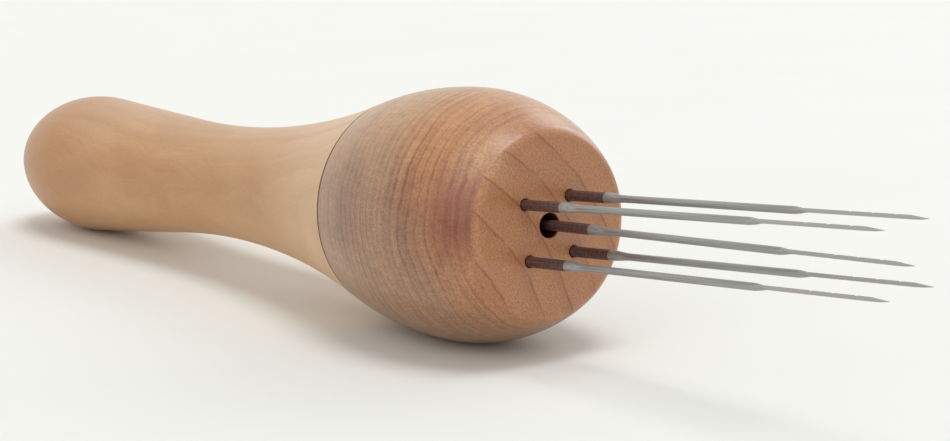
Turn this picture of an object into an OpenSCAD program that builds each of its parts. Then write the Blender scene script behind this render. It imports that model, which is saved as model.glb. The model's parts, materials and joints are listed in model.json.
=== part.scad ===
// A felting tool: a turned wooden handle and a screw-on wooden head that hold five needles.
// Sizes are in millimetres. The tool lies on a table at z = 0, on its bulb and its head, and
// the origin is on the table straight below the centre of the head's front face.
// Each piece is drawn as it would stand in a lathe and is then laid down. In that first
// position the tool's axis is Z, the front face is at z = 0, the needles stand above it,
// the wood is below it, and -X is the side that faces up when the tool lies down.

/* [Handle] */
// Length from the rounded end to the seam with the head
handle_length = 141; // [137:0.5:147]
// Greatest radius of the bulb
bulb_r = 14.9; // [14:0.1:15.6]
// Radius of the arc along the side of the bulb
bulb_side_r = 39.5; // [36:0.5:44]
// Radius of the arc round the end of the bulb
bulb_end_r = 10.4; // [9.6:0.1:11.2]
// Least radius, at the waist
waist_r = 11.3; // [10.6:0.1:12]
// Distance from the seam back to the waist
waist_from_seam = 59.4; // [56:0.2:62]

/* [Head] */
// Length from the seam to the front face
head_length = 41; // [39:0.5:43]
// Greatest radius, at the crown
head_r = 22.3; // [21.4:0.1:23.4]
// Distance from the front face back to the crown
crown_from_face = 21.2; // [20.4:0.1:22]
// Radius of the arc from the crown to the front face
front_arc_r = 38; // [36:0.1:41]
// Radius of the rounded edge of the front face
face_edge_r = 2; // [1:0.1:2.6]
// Thickness of the wood between the front face and the bottom of the socket
front_wall = 9; // [8:0.1:10]

/* [Screw joint] */
// Radius of the thread on the tenon, over its crests
thread_r = 13; // [12.4:0.1:13.4]
// Travel of the head in one turn
thread_pitch = 4; // [3.6:0.2:5]
// Depth of the thread, whose flanks slope at 45 degrees
thread_depth = 1.5; // [1:0.1:1.6]
// Length of the stretch of the tenon that has the thread
thread_length = 19.5; // [15:0.5:20]
// Length of the plain neck between the shoulder and the thread
neck_length = 2.6; // [2:0.1:3.4]
// Play between the two threads, measured on the radius
thread_play = 0.4; // [0.35:0.05:0.5]
// Play between the shoulder of the handle and the back of the head
seam_gap = 0.12; // [0.05:0.01:0.25]
// Bevel round the mouth of the seam on each piece
seam_bevel = 0.18; // [0.1:0.02:0.4]

/* [Holes in the head] */
// Radius of the ring on which the four outer holes lie
ring_r = 6.8; // [6.4:0.1:7.2]
// Distance by which the ring's centre lies below the tool's axis
ring_drop = 0.5; // [0:0.05:0.8]
// Distance by which the ring's centre and the centre hole lie beside the tool's axis
ring_aside = -0.35; // [-0.6:0.05:0.6]
// Angle of the first outer hole, from the side of the head round to its top
first_hole_angle = 48; // [40:0.1:55]
// Diameter of an outer hole
hole_d = 2.05; // [2:0.01:2.3]
// Diameter of the centre hole
centre_hole_d = 4.3; // [4:0.1:5]
// Depth of the bevel round the mouth of each hole in the front face
hole_bevel = 0.12; // [0.05:0.01:0.3]

/* [Needles] */
// Length from the back of the crank to the point
needle_length = 88.9; // [82:0.1:96]
// Diameter of the shank
shank_d = 1.83; // [1.7:0.01:1.9]
// Length of the shank, from the back of the crank to its shoulder
shank_length = 20.55; // [17:0.05:24]
// Diameter of the slim stretch between the shank and the blade
middle_d = 1.22; // [1.1:0.01:1.4]
// Length over which the shank narrows to the slim stretch
neck_taper = 5.2; // [3:0.1:7]
// Length over which the slim stretch narrows to the blade
blade_taper = 4.3; // [3:0.1:6]
// Length of the three-sided blade, with its point
blade_length = 22; // [18:0.5:26]
// Height of the blade's triangle, from a flat to the edge opposite
blade_height = 0.6; // [0.5:0.01:0.72]
// Length over which the blade comes to its point
point_length = 3.4; // [2.4:0.1:4.5]
// Length of the crank, from the needle's own axis to its end
crank_length = 4.4; // [3.6:0.1:4.6]
// Radius of the bend between the shank and the crank, along its centre line
bend_r = 1.5; // [1.3:0.05:1.8]
// Number of barbs on a needle, shared out over the three edges
barb_count = 9; // [3:1:12]
// Distance from the point to the first barb
first_barb = 6.4; // [5:0.1:8]
// Distance along the blade from one barb to the next
barb_step = 1.45; // [0.9:0.05:1.5]
// Depth of a barb's notch
barb_depth = 0.1; // [0.05:0.01:0.12]
// Length of a barb's notch
barb_length = 0.75; // [0.5:0.05:0.9]

/* [Pressure pad] */
// Radius of the pad that holds the cranks down
pad_r = 11.3; // [10.6:0.1:11.5]
// Thickness of the pad
pad_thickness = 2.5; // [2:0.1:3.5]
// Space left on each side of the pad and below the cranks
seat_gap = 0.25; // [0.2:0.01:0.3]

/* [Hidden] */
$fn = 96;

// Lean of each needle and of its hole: degrees towards the top, then towards the side.
// The first four go round the ring and the last is the centre needle.
leans = [[2.05, 0.2], [2.05, 0.45], [1.7, 0.65], [1.9, 0.35], [0.85, 0.6]];
// Place of the centre needle in its hole: above the axis, then to its side
centre_place = [-0.1, 0.5];

// Stations along the axis, with the front face at 0
seam_z = -head_length;
end_z = seam_z - handle_length;
waist_z = seam_z - waist_from_seam;
crown_z = -crown_from_face;
socket_z = -front_wall;

// Outline of the wood, as arcs that run into each other without a corner.
// Points are [radius, station]. An arc whose centre lies across the axis has a negative radius there.
end_centre = [0, end_z + bulb_end_r];
// The hollow arc of the waist and the arc behind the crown meet at the seam
rise = head_r - waist_r;
run = crown_z - waist_z;
both_r = (run * run + rise * rise) / (2 * rise);
hollow_r = both_r * (seam_z - waist_z) / run;
back_arc_r = both_r - hollow_r;
hollow_centre = [waist_r + hollow_r, waist_z];
// Station of the bulb's greatest radius, for a side arc of radius r
function bulb_station(r) = end_centre.y + sqrt(pow(r - bulb_end_r, 2) - pow(r - bulb_r, 2));
// A side arc and the hollow arc can be joined where one straight line touches both.
// On a short handle the side arc gets smaller until that is so.
drop = bulb_r - waist_r;
least_side_r = bulb_r + 5;
function joinable(r) = pow(waist_z - bulb_station(r), 2) > (2 * (hollow_r + r) - drop) * drop;
function fitting(r) = joinable(r) || r < least_side_r ? r : fitting(r - 0.5);
side_r = fitting(bulb_side_r);
bulb_z = bulb_station(side_r);
bulb_centre = [bulb_r - side_r, bulb_z];
back_centre = [head_r - back_arc_r, crown_z];
seam_r = hollow_centre.x + (back_centre.x - hollow_centre.x) * hollow_r / both_r;
front_centre = [head_r - front_arc_r, crown_z];
// The rounded edge lies inside the front arc and touches the front face
face_r = front_centre.x + sqrt(pow(front_arc_r - face_edge_r, 2) - pow(crown_z + face_edge_r, 2));
edge_centre = [face_r, -face_edge_r];
// Where one arc ends and the next begins
function along(from, to, length) = from + (to - from) * length / norm(to - from);
end_tangent = along(bulb_centre, end_centre, side_r);
edge_tangent = along(front_centre, edge_centre, front_arc_r);
// The straight stretch between the bulb and the hollow touches both arcs
between = hollow_centre - bulb_centre;
square_angle = atan2(between.x, between.y) + acos((side_r + hollow_r) / norm(between));
square_to_taper = [sin(square_angle), cos(square_angle)];
taper_start = bulb_centre + side_r * square_to_taper;
taper_end = hollow_centre - hollow_r * square_to_taper;
// The straight stretch runs on this far inside the hollow
taper_overrun = 4;
past_taper = taper_end + (taper_end - taper_start) * taper_overrun / norm(taper_end - taper_start);

// The table touches the bulb's side arc and the arc behind the crown
table_angle = asin((back_arc_r - side_r) / norm(back_centre - bulb_centre))
    - atan2(bulb_centre.x - back_centre.x, back_centre.y - bulb_centre.y);
face_height = cos(table_angle) * back_centre.x - sin(table_angle) * back_centre.y + back_arc_r;

// Needle stations, measured from the front face along the needle's own axis
shank_r = shank_d / 2;
crank_z = socket_z - seat_gap - shank_r;
needle_back_z = crank_z - shank_r;
shank_top_z = needle_back_z + shank_length;
point_z = needle_back_z + needle_length;
blade_z = point_z - blade_length;
middle_end_z = blade_z - blade_taper;
blade_corner_r = blade_height * 2 / 3;
blade_flat_r = blade_height / 3;
point_r = 0.03;
taper_steps = 10;
// The wire is this much thinner in its bend, and the straight stretches run this far into it
bend_thinning = 0.01;
bend_lap = 0.05;
// The thin end of the wire fits inside the blade's flats
wire_end_share = 0.8;
wire_end_r = blade_flat_r * wire_end_share;
// The blade starts inside the wire, a little before the narrowing wire would lay its edges bare
root_lap = 0.3;
bare_share = acos(1 - 2 * (middle_d / 2 - blade_corner_r) / (middle_d / 2 - wire_end_r)) / 180;
blade_root = blade_taper * (1 - bare_share) + root_lap;

// Inside the joint
pad_z = needle_back_z - seat_gap - pad_thickness;
tenon_end_z = pad_z - seat_gap;
tenon_bevel = 1;
// The tenon is drawn from this far inside the handle
tenon_rooting = 2;
root_r = thread_r - thread_depth;
thread_bottom_z = seam_z + neck_length;
thread_top_z = thread_bottom_z + thread_length;
// The plain core lies this far inside the flat facets of a thread
core_margin = 0.3;
tenon_r = root_r - core_margin;
// Recess at the mouth of the socket, which leaves the first turn of the tenon free
recess_margin = 0.4;
mouth_depth = neck_length - recess_margin;
mouth_r = thread_r + thread_play + recess_margin;
// The wider chamber behind the thread of the socket
chamber_gap = 0.8;
chamber_margin = 0.2;
chamber_z = thread_top_z + chamber_gap;
chamber_r = thread_r + thread_play + chamber_margin;
// A thread is cut this far into the spaces at its two ends
overrun = 0.5;
// Points round one turn, and steps along one turn
thread_points = 24;
thread_steps = 18;
crest_flat = (thread_pitch - 2 * thread_depth) / 2;

lots = 3 * head_r;
// Holes are cut this far past the wood, and arcs drawn this far past their ends
past = 1;
// Neighbouring arcs and cylinders cross by this much where they would only touch
lap = 0.004;
hole_r = hole_d / 2;

// Outlines, as flat shapes with the radius across and the station up

module band(from, to, across = lots) {
    translate([0, from]) square([across, to - from]);
}

module disc(centre, r) {
    translate(centre) circle(r = r, $fn = 480);
}

module arc_band(centre, r, from, to) {
    intersection() {
        disc(centre, r);
        band(from, to);
    }
}

// Cuts the sharp edge off a piece at the seam: up is 1 for the head and -1 for the handle
module seam_bevel_cut(station, up) {
    polygon([[seam_r - seam_bevel, station], [seam_r + 2 * seam_bevel, station],
        [seam_r + 2 * seam_bevel, station + up * 3 * seam_bevel]]);
}

module handle_outline() {
    shoulder_z = seam_z - seam_gap;
    difference() {
        union() {
            arc_band(end_centre, bulb_end_r + lap, end_z - past, end_tangent.y + past);
            arc_band(bulb_centre, side_r, end_tangent.y, taper_start.y + past);
            polygon([[0, bulb_z], taper_start - lap * square_to_taper, taper_end + lap * square_to_taper,
                past_taper, [0, taper_end.y]]);
            difference() {
                band(taper_end.y, shoulder_z, hollow_centre.x);
                disc(hollow_centre, hollow_r);
            }
        }
        seam_bevel_cut(shoulder_z, -1);
    }
}

module tenon_outline() {
    root_z = seam_z - tenon_rooting;
    polygon([[0, root_z], [tenon_r, root_z], [tenon_r, tenon_end_z - tenon_bevel],
        [tenon_r - tenon_bevel, tenon_end_z], [0, tenon_end_z]]);
}

module head_outline() {
    difference() {
        union() {
            arc_band(back_centre, back_arc_r, seam_z, crown_z);
            arc_band(front_centre, front_arc_r + lap, crown_z - past, edge_tangent.y);
            arc_band(edge_centre, face_edge_r + 2 * lap, edge_centre.y, 0);
            band(crown_z, 0, face_r);
        }
        seam_bevel_cut(seam_z, 1);
    }
}

// One screw thread, as rings of points that turn as they climb. A point's place round its
// ring is also its place across the thread's profile, so that every crest is one edge.

function profile_height(j) =
    let (off_crest = min(j, thread_points - j) / thread_points * thread_pitch - crest_flat / 2)
    thread_depth * (1 - min(max(off_crest / thread_depth, 0), 1));

// The thread rises out of its core over this length at each end that fades
function fade(z, from, to) = min(1, (z - from) / (thread_pitch / 2), (to - z) / (thread_pitch / 2));

module screw_thread(core_r, from, to, fades) {
    rings = ceil((to - from) / thread_pitch * thread_steps);
    points = [for (i = [0:rings], j = [0:thread_points - 1])
        let (z = from + (to - from) * i / rings,
            angle = 360 * (j / thread_points + z / thread_pitch),
            r = core_r + profile_height(j) * (fades ? max(fade(z, from, to), 0) : 1))
        [r * cos(angle), r * sin(angle), z]];
    sides = [for (i = [0:rings - 1], j = [0:thread_points - 1], half = [0, 1])
        let (a = i * thread_points + j,
            b = i * thread_points + (j + 1) % thread_points,
            c = a + thread_points,
            d = b + thread_points)
        half == 0 ? [a, c, b] : [b, c, d]];
    bottom = [for (j = [0:thread_points - 1]) j];
    top = [for (j = [thread_points - 1:-1:0]) rings * thread_points + j];
    polyhedron(points = points, faces = concat([bottom], sides, [top]), convexity = 10);
}

// Places of the needles and their holes

// Angle of hole i of the ring, from the side of the head round to its top
function ring_angle(i) = first_hole_angle + 90 * i;

// Place of needle i on the front face: above the axis, then to its side
function needle_place(i) = i < 4
    ? [ring_r * sin(ring_angle(i)) - ring_drop, ring_r * cos(ring_angle(i)) + ring_aside]
    : centre_place;

// Direction in which crank i points, as an angle round the axis
function crank_angle(i) = i < 4 ? ring_angle(i) + 90 : 90;

module at_needle(i) {
    translate([-needle_place(i)[0], needle_place(i)[1], 0])
        rotate([-leans[i][1], -leans[i][0], 0])
            children();
}

module lay_down() {
    translate([0, 0, face_height])
        rotate([0, 90 - table_angle, 0])
            children();
}

// The pieces

module handle() {
    color("burlywood") lay_down() {
        union() {
            rotate_extrude() union() {
                handle_outline();
                tenon_outline();
            }
            screw_thread(root_r, thread_bottom_z, thread_top_z, true);
        }
    }
}

// A drilled hole for an outer needle, with a bevel at its mouth and one for the bend behind
module needle_hole() {
    translate([0, 0, socket_z - past]) cylinder(h = front_wall + 2 * past, r = hole_r);
    translate([0, 0, socket_z - past])
        cylinder(h = bend_r + past, r1 = hole_r + bend_r + past, r2 = hole_r);
    hole_mouth(hole_r);
}

module hole_mouth(r) {
    translate([0, 0, -hole_bevel])
        cylinder(h = hole_bevel + past, r1 = r, r2 = r + hole_bevel + past);
}

module centre_hole() {
    translate([0, ring_aside, 0]) {
        translate([0, 0, socket_z - past])
            cylinder(h = front_wall + 2 * past, r = centre_hole_d / 2);
        hole_mouth(centre_hole_d / 2);
    }
}

module socket() {
    rotate_extrude() union() {
        band(seam_z - past, seam_z + mouth_depth, mouth_r);
        band(seam_z - past, socket_z - past, root_r + thread_play - core_margin);
        band(chamber_z, socket_z, chamber_r);
    }
    screw_thread(root_r + thread_play, seam_z + mouth_depth - overrun, chamber_z + overrun, false);
}

module head() {
    color("peru") lay_down() difference() {
        rotate_extrude() head_outline();
        socket();
        for (i = [0:3]) at_needle(i) needle_hole();
        centre_hole();
    }
}

module pressure_pad() {
    color("tan") lay_down() translate([0, 0, pad_z]) cylinder(h = pad_thickness, r = pad_r);
}

// Radius of the round wire where it narrows from one radius to another, smoothly at both ends
function eased(from, to, share) = from + (to - from) * (1 - cos(180 * share)) / 2;

module wire() {
    wire_z = crank_z + bend_r - bend_lap;
    neck = [for (i = [0:taper_steps])
        [eased(shank_r, middle_d / 2, i / taper_steps), shank_top_z + neck_taper * i / taper_steps]];
    shoulder = [for (i = [0:taper_steps])
        [eased(middle_d / 2, wire_end_r, i / taper_steps), middle_end_z + blade_taper * i / taper_steps]];
    rotate_extrude() polygon(concat([[0, wire_z], [shank_r, wire_z]], neck,
        shoulder, [[0, blade_z]]));
}

module crank(angle) {
    rotate([0, 0, angle]) {
        translate([bend_r, 0, crank_z + bend_r]) rotate([90, 0, 0]) rotate([0, 0, 180])
            rotate_extrude(angle = 90) translate([bend_r, 0]) circle(r = shank_r - bend_thinning);
        translate([bend_r - bend_lap, 0, crank_z]) rotate([0, 90, 0])
            cylinder(h = crank_length - bend_r + bend_lap, r = shank_r);
    }
}

module barb_notch() {
    rotate([90, 0, 0]) linear_extrude(height = blade_height, center = true)
        polygon([[-barb_depth, 0], [barb_depth, 0], [barb_depth, 2 * barb_length]]);
}

module blade() {
    difference() {
        intersection() {
            translate([0, 0, blade_z - blade_root])
                linear_extrude(height = blade_length + blade_root)
                    polygon([for (i = [0:2]) blade_corner_r * [cos(180 + 120 * i), sin(180 + 120 * i)]]);
            union() {
                translate([0, 0, blade_z - 2 * blade_root])
                    cylinder(h = blade_length - point_length + 2 * blade_root, r = 2 * blade_corner_r);
                translate([0, 0, point_z - point_length])
                    cylinder(h = point_length, r1 = blade_corner_r, r2 = point_r);
            }
        }
        for (i = [0:barb_count - 1])
            rotate([0, 0, 180 + 120 * i]) translate([blade_corner_r, 0, point_z - first_barb - i * barb_step])
                barb_notch();
    }
}

module needle(i) {
    color("darkgray") lay_down() at_needle(i) union() {
        crank(crank_angle(i));
        wire();
        blade();
    }
}

handle();
head();
pressure_pad();
needle(0);  // needle_1
needle(1);  // needle_2
needle(2);  // needle_3
needle(3);  // needle_4
needle(4);  // needle_5
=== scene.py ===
"""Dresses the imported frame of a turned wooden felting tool: its woods, steel, paint, leather and stage.

Lengths in the frame are metres. Patterns are laid out in tool space: millimetres, with X along the
tool's axis towards the needle points, Y to the side, Z up and the origin at the front face's centre.
"""

import json
import math

import bpy
from bpy.props import FloatProperty, FloatVectorProperty, PointerProperty
from mathutils import Matrix, Vector

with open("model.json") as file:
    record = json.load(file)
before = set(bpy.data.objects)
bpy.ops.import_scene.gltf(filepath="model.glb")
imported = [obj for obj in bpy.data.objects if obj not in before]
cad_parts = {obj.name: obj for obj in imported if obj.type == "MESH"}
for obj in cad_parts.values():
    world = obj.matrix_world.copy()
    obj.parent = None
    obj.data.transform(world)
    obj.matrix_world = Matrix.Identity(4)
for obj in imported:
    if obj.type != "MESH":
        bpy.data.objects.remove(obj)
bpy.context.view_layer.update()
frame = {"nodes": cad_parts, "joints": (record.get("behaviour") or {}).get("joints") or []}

bl_info = {
    "name": "Felting Tool",
    "version": (1, 0, 0),
    "blender": (4, 5, 0),
    "location": "View3D > Sidebar > Felting Tool",
    "description": "Dresses a turned wooden felting tool and sets its stage",
    "category": "Object",
}

MM = 0.001

# The tool's own axis and the centre of its front face
TURN = next(joint for joint in frame["joints"] if joint["name"] == "head_turn")
FACE_CENTRE = Vector(TURN["pos_m"])
TOOL_AXIS = Vector(TURN["axis"]).normalized()
TILT = math.atan2(TOOL_AXIS.z, TOOL_AXIS.x)

# The ring of the four outer needles on the front face, in millimetres: its radius, how far its centre
# lies below the axis and beside it, and the angle of its first needle from the side round to the top
RING_RADIUS, RING_DROP, RING_ASIDE, FIRST_ANGLE = 6.8, 0.5, -0.35, 48
# The centre needle's place, above the axis and to its side
CENTRE_PLACE = (-0.1, 0.5)
# Each needle's lean towards the top and towards the side, in degrees
LEANS = ((2.05, 0.2), (2.05, 0.45), (1.7, 0.65), (1.9, 0.35), (0.85, 0.6))

# The distance of the seam behind the front face, in millimetres
SEAM = 41.0
# Where the needles' three-sided blades start, in front of the face, and the taper before them
BLADE_START, BLADE_TAPER = 55.8, 4.0

# The photograph's camera: its place in metres, the direction of its view, its roll in radians, and its
# lens and its sensor's width in millimetres
CAMERA_PLACE = Vector((0.276465, -0.230624, 0.092225))
CAMERA_FORWARD = Vector((-0.77647, 0.60237, -0.18507))
CAMERA_ROLL = -0.008
CAMERA_LENS = 83.08
SENSOR_WIDTH = 36.0


def srgb(red, green, blue):
    """A colour written as 0 to 255 display values, turned into the linear values that shaders use."""
    parts = (red / 255, green / 255, blue / 255)
    return tuple(c / 12.92 if c <= 0.04045 else ((c + 0.055) / 1.055) ** 2.4 for c in parts)


# Settings


def colour_setting(name, description, value):
    return FloatVectorProperty(
        name=name, description=description, subtype="COLOR", size=3, min=0, max=1, default=srgb(*value)
    )


class FELTING_PG_wood(bpy.types.PropertyGroup):
    """Colours and grain of the two woods."""

    handle_pale: colour_setting("Handle pale", "Early wood of the handle", (203, 155, 107))
    handle_deep: colour_setting("Handle deep", "Late wood of the handle", (187, 138, 87))
    head_mauve: colour_setting("Head mauve", "Greyish wood next to the seam", (173, 132, 96))
    head_plum: colour_setting("Head plum", "Dark streaks in the greyish wood", (129, 86, 67))
    head_amber: colour_setting("Head amber", "Warm wood at the crown and the front", (192, 133, 89))
    head_russet: colour_setting("Head russet", "Dark streaks in the warm wood", (128, 60, 25))
    ring_width: FloatProperty(
        name="Ring width", description="Width of a growth ring of the head, in millimetres",
        min=0.5, max=5, default=1.74,
    )


class FELTING_PG_needles(bpy.types.PropertyGroup):
    """Colours of the needles."""

    steel: colour_setting("Steel", "Bare steel of the needles", (170, 169, 166))
    paint: colour_setting("Paint", "Paint on the shanks", (90, 58, 54))
    paint_end: FloatProperty(
        name="Paint end", description="Where the paint ends, in front of the face",
        subtype="DISTANCE", unit="LENGTH", min=0, max=0.03, default=9.47 * MM,
    )


class FELTING_PG_pad(bpy.types.PropertyGroup):
    """Colour of the leather pad."""

    leather: colour_setting("Leather", "Leather of the pressure pad", (150, 112, 78))


class FELTING_PG_stage(bpy.types.PropertyGroup):
    """Floor and light."""

    floor: colour_setting("Floor", "The pale floor", (246, 247, 242))
    sky: FloatProperty(
        name="Sky", description="Strength of the even light from all round", min=0, max=2, default=0.52
    )
    key: FloatProperty(
        name="Key", description="Strength of the large soft light overhead", min=0, max=10, default=1.0
    )
    rim: FloatProperty(
        name="Rim", description="Strength of the soft light from behind", min=0, max=10, default=0.62
    )
    fill: FloatProperty(
        name="Fill", description="Strength of the soft light from the near side",
        min=0, max=10, default=0.45,
    )


SETTINGS = {
    "felting_wood": FELTING_PG_wood,
    "felting_needles": FELTING_PG_needles,
    "felting_pad": FELTING_PG_pad,
    "felting_stage": FELTING_PG_stage,
}


# Node helpers


class Web:
    """Adds nodes to one node tree. Any input takes a plain value or another node's output."""

    def __init__(self, tree):
        self.tree = tree

    def add(self, kind, inputs=None, **settings):
        node = self.tree.nodes.new(kind)
        for name, value in settings.items():
            setattr(node, name, value)
        for key, value in (inputs or {}).items():
            self.feed(node.inputs[key], value)
        return node

    def feed(self, socket, value):
        if isinstance(value, bpy.types.NodeSocket):
            self.tree.links.new(value, socket)
        elif socket.type == "RGBA" and len(value) == 3:
            socket.default_value = (*value, 1)
        else:
            socket.default_value = value

    def sum(self, operation, a, b=0.0, c=0.0, clamp=False):
        """One Math node."""
        node = self.add("ShaderNodeMath", {0: a, 1: b, 2: c}, operation=operation, use_clamp=clamp)
        return node.outputs[0]

    def vector(self, operation, a, b=(0, 0, 0)):
        """One Vector Math node."""
        return self.add("ShaderNodeVectorMath", {0: a, 1: b}, operation=operation).outputs[0]

    def mix(self, share, a, b, blend="MIX"):
        """Colour a with a share of colour b laid over it."""
        node = self.add("ShaderNodeMix", {0: share, 6: a, 7: b}, data_type="RGBA", blend_type=blend)
        return node.outputs[2]

    def step(self, value, low, high, out_low=0.0, out_high=1.0):
        """Goes smoothly from out_low to out_high as value goes from low to high."""
        node = self.add(
            "ShaderNodeMapRange", {0: value, 1: low, 2: high, 3: out_low, 4: out_high},
            interpolation_type="SMOOTHSTEP",
        )
        return node.outputs[0]

    def noise(self, place, scale, detail=2.0, roughness=0.5, distortion=0.0, flat=False):
        """Noise from 0 to 1 over a place, or over one number when flat is True."""
        inputs = {"W" if flat else "Vector": place, "Scale": scale, "Detail": detail,
                  "Roughness": roughness, "Distortion": distortion}
        node = self.add("ShaderNodeTexNoise", inputs, noise_dimensions="1D" if flat else "3D")
        return node.outputs[0]

    def mapping(self, place, location=(0, 0, 0), rotation=(0, 0, 0), scale=(1, 1, 1)):
        """The place as seen from a frame with this location, turn and size."""
        node = self.add(
            "ShaderNodeMapping",
            {"Vector": place, "Location": location, "Rotation": rotation, "Scale": scale},
            vector_type="TEXTURE",
        )
        return node.outputs[0]

    def parts(self, place):
        return self.add("ShaderNodeSeparateXYZ", {0: place}).outputs

    def group(self, name, inputs):
        node = self.add("ShaderNodeGroup")
        node.node_tree = bpy.data.node_groups[name]
        for key, value in inputs.items():
            self.feed(node.inputs[key], value)
        return node.outputs


def new_group(name, inputs, outputs):
    """An empty shader node group with these sockets: its web, its inputs and its output node."""
    tree = bpy.data.node_groups.new(name, "ShaderNodeTree")
    for label, kind, value in inputs:
        socket = tree.interface.new_socket(label, in_out="INPUT", socket_type=kind)
        if value is not None:
            socket.default_value = value
    for label, kind in outputs:
        tree.interface.new_socket(label, in_out="OUTPUT", socket_type=kind)
    web = Web(tree)
    entry = web.add("NodeGroupInput")
    return web, entry.outputs, web.add("NodeGroupOutput")


FLOAT, VECTOR = "NodeSocketFloat", "NodeSocketVector"


def make_tool_space():
    """The place of a surface point in tool space: the object's own coordinates seen from the front face's
    centre, turned by the tilt of the tool's axis and counted in millimetres."""
    web, _, out = new_group("tool_space", [], [("Place", VECTOR)])
    own = web.add("ShaderNodeTexCoord").outputs["Object"]
    web.feed(out.inputs["Place"], web.mapping(own, FACE_CENTRE, (0, -TILT, 0), (MM, MM, MM)))


def make_wood_grain():
    """Fibres, flecks and clouds of a wood whose grain runs along Z. Fibres are noise drawn out along the
    grain, flecks are the cores of long thin cells, and clouds are slow noise a little drawn out."""
    web, given, out = new_group(
        "wood_grain",
        [("Place", VECTOR, None), ("Fibre Width", FLOAT, 0.2), ("Fibre Length", FLOAT, 5.0),
         ("Fleck Width", FLOAT, 0.5), ("Fleck Length", FLOAT, 2.5), ("Cloud Size", FLOAT, 12.0)],
        [("Fibres", FLOAT), ("Flecks", FLOAT), ("Clouds", FLOAT)],
    )

    def drawn_out(width, length):
        size = web.add("ShaderNodeCombineXYZ", {0: width, 1: width, 2: length}).outputs[0]
        return web.vector("DIVIDE", given["Place"], size)

    threads = drawn_out(given["Fibre Width"], given["Fibre Length"])
    fibres = web.noise(threads, 1.0, detail=3.0, roughness=0.6)
    long_cells = drawn_out(given["Fleck Width"], given["Fleck Length"])
    cells = web.add("ShaderNodeTexVoronoi", {"Vector": long_cells, "Scale": 1.0, "Randomness": 1.0})
    puffs = drawn_out(given["Cloud Size"], web.sum("MULTIPLY", given["Cloud Size"], 2.2))
    clouds = web.noise(puffs, 1.0, detail=3.0, roughness=0.55, distortion=0.6)
    web.feed(out.inputs["Fibres"], fibres)
    web.feed(out.inputs["Flecks"], web.step(cells.outputs["Distance"], 0.34, 0.12))
    web.feed(out.inputs["Clouds"], clouds)


def make_growth_rings():
    """Growth rings over a distance from the tree's heart. Lines go slowly from pale early wood to deep
    late wood and back at once. Streaks are uneven noise of the distance, and bands are slow noise of it.
    The distance first wanders with slow noise, and is combed with the fibres, so no edge is sharp."""
    web, given, out = new_group(
        "growth_rings",
        [("Distance", FLOAT, 0.0), ("Place", VECTOR, None), ("Ring Width", FLOAT, 1.7),
         ("Wander", FLOAT, 0.5), ("Fibres", FLOAT, 0.5), ("Comb", FLOAT, 0.4)],
        [("Lines", FLOAT), ("Streaks", FLOAT), ("Bands", FLOAT)],
    )
    slow = web.noise(given["Place"], 0.09, detail=2.0)
    wander = web.sum("MULTIPLY_ADD", slow, given["Wander"], given["Distance"])
    combed = web.sum("MULTIPLY_ADD", given["Fibres"], given["Comb"], wander)
    count = web.sum("DIVIDE", combed, given["Ring Width"])
    within = web.sum("FRACT", count)
    line = web.sum("MULTIPLY", web.step(within, 0.45, 0.88), web.step(within, 1.0, 0.9))
    web.feed(out.inputs["Lines"], line)
    web.feed(out.inputs["Streaks"], web.noise(combed, 1.5, detail=3.0, roughness=0.6, flat=True))
    web.feed(out.inputs["Bands"], web.noise(wander, 0.3, detail=1.0, flat=True))


def make_drawn_wire():
    """Marks on drawn wire that runs along X: streaks are noise drawn far out along the wire, and scuffs
    are the rare crossings of a second, shorter noise."""
    web, given, out = new_group(
        "drawn_wire", [("Place", VECTOR, None), ("Streak Width", FLOAT, 0.16)],
        [("Streaks", FLOAT), ("Scuffs", FLOAT)],
    )
    width = given["Streak Width"]
    length = web.sum("MULTIPLY", width, 160.0)
    size = web.add("ShaderNodeCombineXYZ", {0: length, 1: width, 2: width}).outputs[0]
    drawn = web.vector("DIVIDE", given["Place"], size)
    short = web.vector("DIVIDE", given["Place"], (0.9, 0.12, 0.12))
    web.feed(out.inputs["Streaks"], web.noise(drawn, 1.0, detail=3.0, roughness=0.6))
    web.feed(out.inputs["Scuffs"], web.step(web.noise(short, 1.0, detail=2.0), 0.58, 0.74))


GROUP_MAKERS = (make_tool_space, make_wood_grain, make_growth_rings, make_drawn_wire)


def make_groups():
    if "tool_space" not in bpy.data.node_groups:
        for make in GROUP_MAKERS:
            make()


def new_material(name):
    """A material with only a Principled BSDF and its output. Returns its web and the shader."""
    make_groups()
    material = bpy.data.materials.new(name)
    material.use_nodes = True
    web = Web(material.node_tree)
    shader = next(n for n in material.node_tree.nodes if n.type == "BSDF_PRINCIPLED")
    return material, web, shader


def set_bump(web, shader, height, strength, distance):
    bump = web.add("ShaderNodeBump", {"Height": height, "Strength": strength, "Distance": distance})
    web.feed(shader.inputs["Normal"], bump.outputs[0])


def put_on(node, material):
    """Gives a carried-over CAD node its material."""
    slots = frame["nodes"][node].data.materials
    slots.clear()
    slots.append(material)


# Materials

# Colours laid over the settings' colours
FIGURE_LINE, FIGURE_PATCH = srgb(158, 104, 66), srgb(176, 120, 78)
# Painted light on the handle: a pale painted sheen on its top, and painted bounce light on its underside
HANDLE_TOP_SHEEN, HANDLE_UNDERSIDE_BOUNCE = srgb(236, 208, 180), srgb(224, 190, 152)
HANDLE_FLARE, HANDLE_BULB = srgb(224, 190, 150), srgb(176, 121, 76)
HANDLE_RING, HANDLE_BAND = srgb(164, 112, 76), srgb(186, 128, 86)
# Painted light on the head: its paler top lit from above, and a painted highlight on its near shoulder
HEAD_TOP_SHEEN, HEAD_SHOULDER_HIGHLIGHT = srgb(226, 172, 116), srgb(226, 186, 148)
HANDLE_FLECK, HEAD_FLECK = srgb(150, 104, 72), srgb(122, 78, 56)
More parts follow.
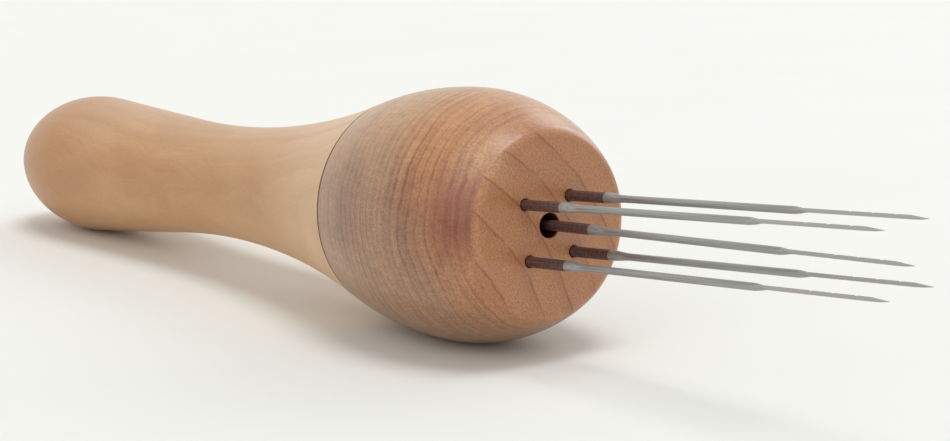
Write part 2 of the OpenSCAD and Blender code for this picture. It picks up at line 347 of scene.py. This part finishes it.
# Painted shade: dark at the seam for the shade in the gap, and darker still in the holes for the shade in
# them
SEAM_SHADE, HOLE_SHADE = srgb(88, 50, 32), srgb(40, 26, 20)
LEATHER_CREASE, LEATHER_PORE = srgb(96, 66, 44), srgb(112, 78, 52)
STEEL_STREAK, STEEL_SCUFF, STEEL_BLADE = srgb(128, 126, 124), srgb(188, 186, 182), srgb(176, 171, 166)
PAINT_STREAK, PAINT_WORN = srgb(48, 28, 28), srgb(128, 102, 96)
FLOOR_CLOUD = srgb(232, 232, 226)

# The next pairs are spans in millimetres over which a mask goes from 0 to 1. They are heights above the
# tool's axis, distances from it, or stations along it, which are negative behind the front face.
# Heights on the handle, for its painted sheen on top and its painted bounce light underneath, and then
# stations on the handle
HANDLE_SHEEN_HEIGHTS, HANDLE_BOUNCE_HEIGHTS = (3.0, 17.0), (-3.0, -13.0)
TO_FLARE, TO_BULB = (-78.0, -44.0), (-125.0, -172.0)
# A height and three stations on the head; the height and the first station bound its painted light on top
HEAD_SHEEN_HEIGHTS, HEAD_SHEEN_STATIONS = (5.0, 20.0), (0.0, -11.0)
GREY_TO_WARM, FACE_TO_SIDE = (-15.0, -2.0), (-0.2, -1.3)
# The painted shade at the seam, which darkens both pieces' rounded edges where the gap between them is in
# shade: a station on each piece, and the distance
HANDLE_SEAM_SHADE, HEAD_SEAM_SHADE = (-SEAM - 0.4, -SEAM - 0.24), (0.34 - SEAM, 0.2 - SEAM)
OUTER_RIM = (18.8, 19.2)
# The painted shade in the holes in the front wall: the distance, and stations at their mouths and at the
# socket
NEAR_AXIS, BEHIND_FACE, BEFORE_SOCKET = (14.3, 14.1), (-0.08, -0.4), (-9.0, -8.5)

# The place beside and above the tool's axis where the heart of the handle's tree would be
HANDLE_HEART = (0, 31, 18)
# The deep-coloured patches on the near side of the head, and a pale patch on its shoulder that is a
# painted highlight: the middle and the half sizes of each, in tool space, and its strength
DEEP_PATCHES = (
    ((-2.5, -18.0, 3.5), (11.0, 14.0, 12.0), 0.68),
    ((-29.0, -18.0, 4.0), (7.0, 13.0, 13.0), 0.5),
    ((-14.0, -21.0, 4.0), (6.0, 11.0, 10.0), 0.32),
)
HIGHLIGHT_PATCH = ((-3.5, -12.5, 11.0), (6.0, 8.0, 8.0))
# On the front face the growth lines slant: the turn of the grain round the axis, the distance of one
# line from the tool's axis, the distance from line to line, and how much a line bends and waves
GRAIN_TURN = math.radians(34.8)
FACE_LINE, FACE_LINE_STEP, FACE_LINE_BEND, FACE_LINE_WAVE = -7.8, 6.2, 0.012, 2.4


def laid(web, colour, layers):
    """The colour under layers, each a colour, the mask where it shows and its strength there."""
    for tone, mask, strength in layers:
        colour = web.mix(web.sum("MULTIPLY", mask, strength), colour, tone)
    return colour


def shaded(web, colour, value, low, high):
    """The colour made darker or lighter: times low where value is 0.2, times high where it is 0.8."""
    times = web.step(value, 0.2, 0.8, low, high)
    grey = web.add("ShaderNodeCombineColor", {0: times, 1: times, 2: times}).outputs[0]
    return web.mix(1.0, colour, grey, "MULTIPLY")


def distance(web, a, b):
    """The length of a flat vector with these two parts."""
    return web.sum("SQRT", web.sum("MULTIPLY_ADD", a, a, web.sum("MULTIPLY", b, b)))


def patch(web, place, middle, half):
    """1 in the middle of an ellipsoid, and 0 from its surface on."""
    near = web.vector("DIVIDE", web.vector("SUBTRACT", place, middle), half)
    reach = web.add("ShaderNodeVectorMath", {0: near}, operation="LENGTH").outputs["Value"]
    return web.step(reach, 1.0, 0.1)


def varnish(web, shader, covered, weight, roughness):
    """A thin coat and the wood's own shine, both gone where the mask is 1."""
    bare = web.sum("SUBTRACT", 1.0, covered)
    web.feed(shader.inputs["Specular IOR Level"], web.sum("MULTIPLY", bare, 0.5))
    web.feed(shader.inputs["Coat Weight"], web.sum("MULTIPLY", bare, weight))
    shader.inputs["Coat Roughness"].default_value = roughness


def handle_wood(colours):
    """Pale wood with its grain along the tool: soft long rings, a slow figure, small flecks and clouds. It
    is paler at the flare and deeper at the bulb. Its top is painted paler as a painted sheen, and its
    underside as painted light bounced up from the floor. The edge at the seam is painted dark as the shade
    in the gap."""
    material, web, shader = new_material("handle_wood")
    place = web.group("tool_space", {})["Place"]
    station, aside, above = web.parts(place)
    along = web.mapping(place, HANDLE_HEART, (0, math.radians(90), 0))
    across = web.parts(along)
    slow = web.noise(web.vector("DIVIDE", along, (12, 12, 40)), 1.0, detail=1.0, roughness=0.4)
    grain = web.group("wood_grain", {
        "Place": along, "Fibre Width": 0.2, "Fibre Length": 3.2,
        "Fleck Width": 0.4, "Fleck Length": 2.0, "Cloud Size": 13.0,
    })
    rings = web.group("growth_rings", {
        "Distance": web.sum("MULTIPLY_ADD", slow, 9.0, distance(web, across[0], across[1])),
        "Place": along, "Ring Width": 3.6, "Wander": 3.0, "Fibres": grain["Fibres"], "Comb": 0.8,
    })
    stretched = web.vector("DIVIDE", along, (14, 14, 34))
    figure = web.noise(stretched, 1.0, detail=1.0, roughness=0.5, distortion=1.0)
    off_line = web.sum("ABSOLUTE", web.sum("SUBTRACT", figure, 0.52))
    # Painted shade: the edge at the seam is darkened where the gap is in shade
    edge = web.sum("MULTIPLY", web.step(station, *HANDLE_SEAM_SHADE),
                   web.step(distance(web, aside, above), *OUTER_RIM))

    colour = web.mix(web.step(grain["Clouds"], 0.2, 0.8), colours.handle_pale, colours.handle_deep)
    colour = laid(web, colour, (
        (FIGURE_LINE, web.step(off_line, 0.055, 0.0), 0.12),
        (FIGURE_PATCH, web.step(figure, 0.52, 0.7), 0.3),
        # Painted light: a painted sheen on the top and painted bounce light from the floor on the
        # underside
        (HANDLE_TOP_SHEEN, web.step(above, *HANDLE_SHEEN_HEIGHTS), 0.3),
        (HANDLE_UNDERSIDE_BOUNCE, web.step(above, *HANDLE_BOUNCE_HEIGHTS), 0.28),
        (HANDLE_FLARE, web.step(station, *TO_FLARE), 0.62),
        (HANDLE_BULB, web.step(station, *TO_BULB), 0.6),
        (HANDLE_RING, rings["Lines"], 0.11),
        (HANDLE_BAND, web.step(rings["Bands"], 0.45, 0.75), 0.16),
        (HANDLE_FLECK, grain["Flecks"], 0.1),
    ))
    colour = shaded(web, colour, grain["Fibres"], 0.93, 1.06)
    colour = shaded(web, colour, web.noise(place, 2.6, detail=2.0, roughness=0.6), 0.95, 1.05)
    # Painted shade in the seam's gap
    colour = laid(web, colour, [(SEAM_SHADE, edge, 0.85)])

    web.feed(shader.inputs["Base Color"], colour)
    web.feed(shader.inputs["Roughness"], web.step(grain["Fibres"], 0.2, 0.8, 0.36, 0.46))
    varnish(web, shader, edge, 0.15, 0.3)
    height = web.sum("MULTIPLY_ADD", grain["Flecks"], -0.6, grain["Fibres"])
    set_bump(web, shader, height, 0.12, 0.03 * MM)
    return material


def face_lines(web, across, along, clouds):
    """Slant growth lines on the front face: a thin line every few millimetres with a soft shade before it.
    They bend with the square of the distance along them, and wave with the clouds."""
    bent = web.sum("MULTIPLY_ADD", web.sum("MULTIPLY", along, along), FACE_LINE_BEND, across)
    wavy = web.sum("MULTIPLY_ADD", clouds, FACE_LINE_WAVE, bent)
    count = web.sum("DIVIDE", web.sum("SUBTRACT", wavy, FACE_LINE), FACE_LINE_STEP)
    within = web.sum("FRACT", count)
    line = web.sum("ADD", web.step(within, 0.07, 0.0), web.step(within, 0.93, 1.0))
    shade = web.step(within, 0.55, 1.0, 0.0, 0.35)
    return web.sum("MULTIPLY", web.sum("MAXIMUM", line, shade), 0.52)


def head_grain(web, place, top, on_side, clouds, rings, slant):
    """How much of the deep colour the head's wood has: on the side the rings, thinned out by slow noise,
    thinned at the top as part of the painted light there, and thickened in the patches, and on the face
    the slant lines."""
    mass = 0.0
    for value, weight in ((web.step(rings["Streaks"], 0.35, 0.7), 0.38), (rings["Lines"], 0.32),
                          (web.step(rings["Bands"], 0.38, 0.66), 0.24)):
        mass = web.sum("MULTIPLY_ADD", value, weight, mass)
    broken = web.step(web.noise(place, 0.1, detail=2.0), 0.34, 0.62, 0.5, 1.0)
    # The top thins the grain as part of its painted light
    for factor in (broken, web.sum("MULTIPLY_ADD", top, -0.4, 1.0)):
        mass = web.sum("MULTIPLY", mass, factor)
    for middle, half, strength in DEEP_PATCHES:
        mass = web.sum("MULTIPLY_ADD", patch(web, place, middle, half), strength, mass)
    mass = web.sum("MULTIPLY_ADD", mass, on_side, 0.05)

    _, across, along = web.parts(slant)
    on_face = web.sum("SUBTRACT", 1.0, on_side)
    lines = web.sum("MULTIPLY", face_lines(web, across, along, clouds), on_face)
    fading = web.step(web.noise(place, 0.16, detail=1.0), 0.3, 0.55, 0.4, 0.9)
    lines = web.sum("MULTIPLY_ADD", lines, fading, web.sum("MULTIPLY", on_face, 0.1))
    return web.sum("ADD", mass, lines, clamp=True)


def head_wood(colours):
    """Darker wood whose growth rings lie square across the tool, as bands round it that fade in and out.
    The front face cuts them as slant lines. Its top is painted paler as painted light from above, with a
    painted highlight on the near shoulder. The edge at the seam and the walls of the holes are painted
    dark as shade."""
    material, web, shader = new_material("head_wood")
    place = web.group("tool_space", {})["Place"]
    station, aside, above = web.parts(place)
    radius = distance(web, aside, above)
    slant = web.mapping(place, rotation=(GRAIN_TURN, 0, 0))
    grain = web.group("wood_grain", {
        "Place": slant, "Fibre Width": 0.22, "Fibre Length": 1.5,
        "Fleck Width": 0.3, "Fleck Length": 0.9, "Cloud Size": 7.0,
    })
    rings = web.group("growth_rings", {
        "Distance": web.sum("MULTIPLY_ADD", web.parts(slant)[1], 0.06, station), "Place": slant,
        "Ring Width": colours.ring_width, "Wander": 3.0, "Fibres": grain["Fibres"], "Comb": 1.1,
    })
    # Painted light: the top of the head, where it faces the light overhead, is painted paler, with thinner
    # grain and weaker speckle
    top = web.sum("MULTIPLY", web.step(above, *HEAD_SHEEN_HEIGHTS), web.step(station, *HEAD_SHEEN_STATIONS))
    on_side = web.step(station, *FACE_TO_SIDE)
    # Painted shade: the walls of the holes are darkened where shade falls in them
    hole_shade = web.sum("MULTIPLY", web.step(radius, *NEAR_AXIS), web.step(station, *BEHIND_FACE))
    hole_shade = web.sum("MULTIPLY", hole_shade, web.step(station, *BEFORE_SOCKET))
    # Painted shade at the seam, on the edge where the gap is in shade
    edge = web.sum("MULTIPLY", web.step(station, *HEAD_SEAM_SHADE), web.step(radius, *OUTER_RIM))

    forwards = web.sum("MULTIPLY_ADD", above, 0.45, station)
    forwards = web.sum("MULTIPLY_ADD", grain["Clouds"], 4.0, forwards)
    warm = web.step(forwards, *GREY_TO_WARM)
    # The pale colour carries painted light: paler at the top, and a painted highlight patch on the near
    # shoulder
    pale = laid(web, web.mix(warm, colours.head_mauve, colours.head_amber), (
        (HEAD_TOP_SHEEN, top, 0.42),
        (HEAD_SHOULDER_HIGHLIGHT, patch(web, place, *HIGHLIGHT_PATCH), 0.6),
    ))
    deep = web.mix(warm, colours.head_plum, colours.head_russet)
    share = head_grain(web, place, top, on_side, grain["Clouds"], rings, slant)
    colour = laid(web, web.mix(share, pale, deep), [(HEAD_FLECK, grain["Flecks"], 0.2)])
    colour = shaded(web, colour, grain["Fibres"], 0.86, 1.12)
    mottle = web.noise(web.vector("DIVIDE", place, (2.6, 1.0, 1.0)), 1.0, detail=2.0, roughness=0.6)
    colour = web.mix(on_side, colour, shaded(web, colour, mottle, 0.88, 1.13))
    speckle = web.noise(place, 2.8, detail=3.0, roughness=0.7)
    speckled = shaded(web, colour, speckle, 0.7, 1.28)
    # The speckle is halved at the painted-lit top; then the painted shade in the holes and at the seam
    # goes on
    colour = laid(web, speckled, ((colour, top, 0.5), (HOLE_SHADE, hole_shade, 0.9), (SEAM_SHADE, edge, 0.85)))

    web.feed(shader.inputs["Base Color"], colour)
    web.feed(shader.inputs["Roughness"], web.step(speckle, 0.25, 0.75, 0.3, 0.46))
    varnish(web, shader, web.sum("MAXIMUM", edge, hole_shade), 0.42, 0.26)
    rough = web.sum("ADD", speckle, grain["Fibres"])
    set_bump(web, shader, web.sum("MULTIPLY_ADD", grain["Flecks"], -0.6, rough), 0.25, 0.03 * MM)
    return material


def pad_leather(colours):
    """Vegetable-tanned leather: pebbled by cells, with darker pores."""
    material, web, shader = new_material("pad_leather")
    place = web.group("tool_space", {})["Place"]
    cells = web.add("ShaderNodeTexVoronoi", {"Vector": place, "Scale": 1.6, "Randomness": 1.0},
                    feature="DISTANCE_TO_EDGE").outputs["Distance"]
    pores = web.noise(place, 3.0, detail=3.0, roughness=0.6)
    colour = web.mix(web.step(cells, 0.12, 0.0), colours.leather, LEATHER_CREASE)
    colour = laid(web, colour, [(LEATHER_PORE, web.step(pores, 0.55, 0.75), 0.5)])
    web.feed(shader.inputs["Base Color"], colour)
    web.feed(shader.inputs["Roughness"], web.step(pores, 0.3, 0.7, 0.6, 0.75))
    set_bump(web, shader, web.step(cells, 0.0, 0.2), 0.4, 0.08 * MM)
    return material


def needle_places():
    """Each needle's name, its place above the axis and beside it, and its lean, by the ring's sizes."""
    for number, lean in enumerate(LEANS, 1):
        angle = math.radians(FIRST_ANGLE + 90 * (number - 1))
        above = RING_RADIUS * math.sin(angle) - RING_DROP
        aside = RING_RADIUS * math.cos(angle) + RING_ASIDE
        place = (above, aside) if number < len(LEANS) else CENTRE_PLACE
        yield "needle_%d" % number, place, lean


def needle_steel(name, place_on_face, lean, colours):
    """Drawn steel with dark paint on the shank. The paint's mask is the station along the needle's own
    axis, with a slightly uneven edge."""
    above, side = place_on_face
    up, aside = (math.radians(angle) for angle in lean)
    turn_y = -math.asin(math.cos(aside) * math.sin(up))
    turn_z = math.atan2(math.sin(aside), math.cos(aside) * math.cos(up))
    material, web, shader = new_material(name + "_steel")
    place = web.group("tool_space", {})["Place"]
    own = web.mapping(place, (0, side, above), (0, turn_y, turn_z))
    station = web.parts(own)[0]
    wire = web.group("drawn_wire", {"Place": own})
    uneven = web.sum("MULTIPLY_ADD", web.noise(own, 2.4, detail=2.0), 0.25, station)
    paint_end = colours.paint_end / MM
    paint = web.step(uneven, paint_end + 0.16, paint_end + 0.08)
    bare = web.mix(web.step(wire["Streaks"], 0.35, 0.75), colours.steel, STEEL_STREAK)
    bare = laid(web, bare, (
        (STEEL_SCUFF, wire["Scuffs"], 0.25),
        (STEEL_BLADE, web.step(station, BLADE_START - BLADE_TAPER, BLADE_START), 0.8),
    ))
    coat = web.mix(web.step(wire["Streaks"], 0.35, 0.62), colours.paint, PAINT_STREAK)
    worn = web.step(web.noise(own, 2.6, detail=3.0, roughness=0.7), 0.42, 0.7)
    coat = laid(web, coat, [(PAINT_WORN, worn, 0.5)])
    web.feed(shader.inputs["Base Color"], web.mix(paint, bare, coat))
    web.feed(shader.inputs["Metallic"], web.sum("MULTIPLY_ADD", paint, -0.7, 0.7))
    rough = web.step(wire["Streaks"], 0.3, 0.7, 0.36, 0.46)
    web.feed(shader.inputs["Roughness"], web.sum("MULTIPLY_ADD", paint, 0.06, rough))
    height = web.sum("MULTIPLY_ADD", paint, 0.6, web.sum("MULTIPLY", wire["Streaks"], 0.5))
    set_bump(web, shader, height, 0.2, 0.02 * MM)
    return material


# Operators


class FELTING_OT_handle(bpy.types.Operator):
    """Give the handle its pale wood"""

    bl_idname = "felting.handle"
    bl_label = "Handle"

    def execute(self, context):
        put_on("handle", handle_wood(context.scene.felting_wood))
        return {"FINISHED"}


class FELTING_OT_head(bpy.types.Operator):
    """Give the head its darker wood"""

    bl_idname = "felting.head"
    bl_label = "Head"

    def execute(self, context):
        put_on("head", head_wood(context.scene.felting_wood))
        return {"FINISHED"}


class FELTING_OT_pad(bpy.types.Operator):
    """Give the pressure pad its leather"""

    bl_idname = "felting.pad"
    bl_label = "Pressure Pad"

    def execute(self, context):
        put_on("pressure_pad", pad_leather(context.scene.felting_pad))
        return {"FINISHED"}


class FELTING_OT_needles(bpy.types.Operator):
    """Give the needles their steel and the paint on their shanks"""

    bl_idname = "felting.needles"
    bl_label = "Needles"

    def execute(self, context):
        for name, place, lean in needle_places():
            put_on(name, needle_steel(name, place, lean, context.scene.felting_needles))
        return {"FINISHED"}


# Half the floor's side and the lamps' height, in metres
FLOOR_HALF = 3.0
SUN_HEIGHT = 1.0
# Each soft lamp's name, the direction of its light, the setting of its strength and its width in degrees
SUNS = (
    ("softbox_overhead", (-0.1, -0.05, -1), "key", 27),
    ("softbox_behind", (0.22, -1, -0.6), "rim", 44),
    ("softbox_near", (-0.2, 0.95, -0.55), "fill", 50),
)


def stage_material(colour):
    """A matt floor with faint clouds."""
    material, web, shader = new_material("pale_floor")
    place = web.group("tool_space", {})["Place"]
    clouds = web.step(web.noise(place, 0.02, detail=3.0), 0.3, 0.7)
    web.feed(shader.inputs["Base Color"], laid(web, colour, [(FLOOR_CLOUD, clouds, 0.06)]))
    shader.inputs["Roughness"].default_value = 0.75
    shader.inputs["Specular IOR Level"].default_value = 0.2
    return material


def make_floor(colour):
    """A flat square floor at z = 0."""
    corners = [(x * FLOOR_HALF, y * FLOOR_HALF, 0) for x, y in ((-1, -1), (1, -1), (1, 1), (-1, 1))]
    mesh = bpy.data.meshes.new("floor")
    mesh.from_pydata(corners, [], [(0, 1, 2, 3)])
    floor = bpy.data.objects.new("floor", mesh)
    mesh.materials.append(stage_material(colour))
    bpy.context.scene.collection.objects.link(floor)


def make_sun(name, direction, strength, angle):
    """A sun lamp that shines along a direction, with a wide soft disc."""
    lamp = bpy.data.lights.new(name, "SUN")
    lamp.energy, lamp.angle = strength, math.radians(angle)
    sun = bpy.data.objects.new(name, lamp)
    sun.rotation_euler = Vector(direction).to_track_quat("-Z", "Y").to_euler()
    sun.location = (0, 0, SUN_HEIGHT)
    bpy.context.scene.collection.objects.link(sun)


def make_sky(scene, strength, colour):
    """Even white light from all round. The camera and reflections see the floor's colour instead."""
    world = scene.world or bpy.data.worlds.new("sky")
    scene.world = world
    world.use_nodes = True
    world.node_tree.nodes.clear()
    web = Web(world.node_tree)
    path = web.add("ShaderNodeLightPath").outputs
    seen = web.sum("MAXIMUM", path["Is Camera Ray"], path["Is Glossy Ray"])
    seen = web.sum("MAXIMUM", seen, path["Is Transmission Ray"])
    light = web.add("ShaderNodeBackground", {"Color": (1, 1, 1), "Strength": strength}).outputs[0]
    backdrop = web.add("ShaderNodeBackground", {"Color": tuple(colour), "Strength": 1.0}).outputs[0]
    mixed = web.add("ShaderNodeMixShader", {0: seen, 1: light, 2: backdrop}).outputs[0]
    out = web.add("ShaderNodeOutputWorld")
    web.feed(out.inputs["Surface"], mixed)


def make_camera(scene):
    """The photograph's camera, rolled a little."""
    data = bpy.data.cameras.new("camera")
    data.sensor_fit, data.sensor_width, data.lens = "HORIZONTAL", SENSOR_WIDTH, CAMERA_LENS
    data.clip_start, data.clip_end = 0.01, 20
    camera = bpy.data.objects.new("camera", data)
    back = -CAMERA_FORWARD.normalized()
    level = Vector((0, 0, 1)).cross(back).normalized()
    right = level * math.cos(CAMERA_ROLL) + back.cross(level) * math.sin(CAMERA_ROLL)
    turn = Matrix((right, back.cross(right), back)).transposed()
    camera.matrix_world = Matrix.Translation(CAMERA_PLACE) @ turn.to_4x4()
    scene.collection.objects.link(camera)
    scene.camera = camera


class FELTING_OT_stage(bpy.types.Operator):
    """Make the floor, the light and the camera"""

    bl_idname = "felting.stage"
    bl_label = "Stage"

    def execute(self, context):
        scene, chosen = context.scene, context.scene.felting_stage
        scene.view_settings.view_transform = "Standard"
        make_floor(chosen.floor)
        for name, direction, setting, angle in SUNS:
            make_sun(name, direction, getattr(chosen, setting), angle)
        make_sky(scene, chosen.sky, chosen.floor)
        make_camera(scene)
        return {"FINISHED"}


OPERATORS = (
    FELTING_OT_handle,
    FELTING_OT_head,
    FELTING_OT_pad,
    FELTING_OT_needles,
    FELTING_OT_stage,
)


class FELTING_PT_panel(bpy.types.Panel):
    """Lists the pieces and their settings"""

    bl_idname = "FELTING_PT_panel"
    bl_label = "Felting Tool"
    bl_space_type = "VIEW_3D"
    bl_region_type = "UI"
    bl_category = "Felting Tool"

    def draw(self, context):
        for name, kind in SETTINGS.items():
            chosen = getattr(context.scene, name)
            for setting in kind.__annotations__:
                self.layout.prop(chosen, setting)
        for operator in OPERATORS:
            self.layout.operator(operator.bl_idname)


CLASSES = (*SETTINGS.values(), *OPERATORS, FELTING_PT_panel)


def register():
    for kind in CLASSES:
        bpy.utils.register_class(kind)
    for name, kind in SETTINGS.items():
        setattr(bpy.types.Scene, name, PointerProperty(type=kind))


def unregister():
    for name in SETTINGS:
        delattr(bpy.types.Scene, name)
    for kind in reversed(CLASSES):
        bpy.utils.unregister_class(kind)


def main():
    register()
    bpy.ops.felting.handle()
    bpy.ops.felting.head()
    bpy.ops.felting.pad()
    bpy.ops.felting.needles()
    bpy.ops.felting.stage()
    bpy.context.view_layer.update()


if __name__ == "__main__":
    main()
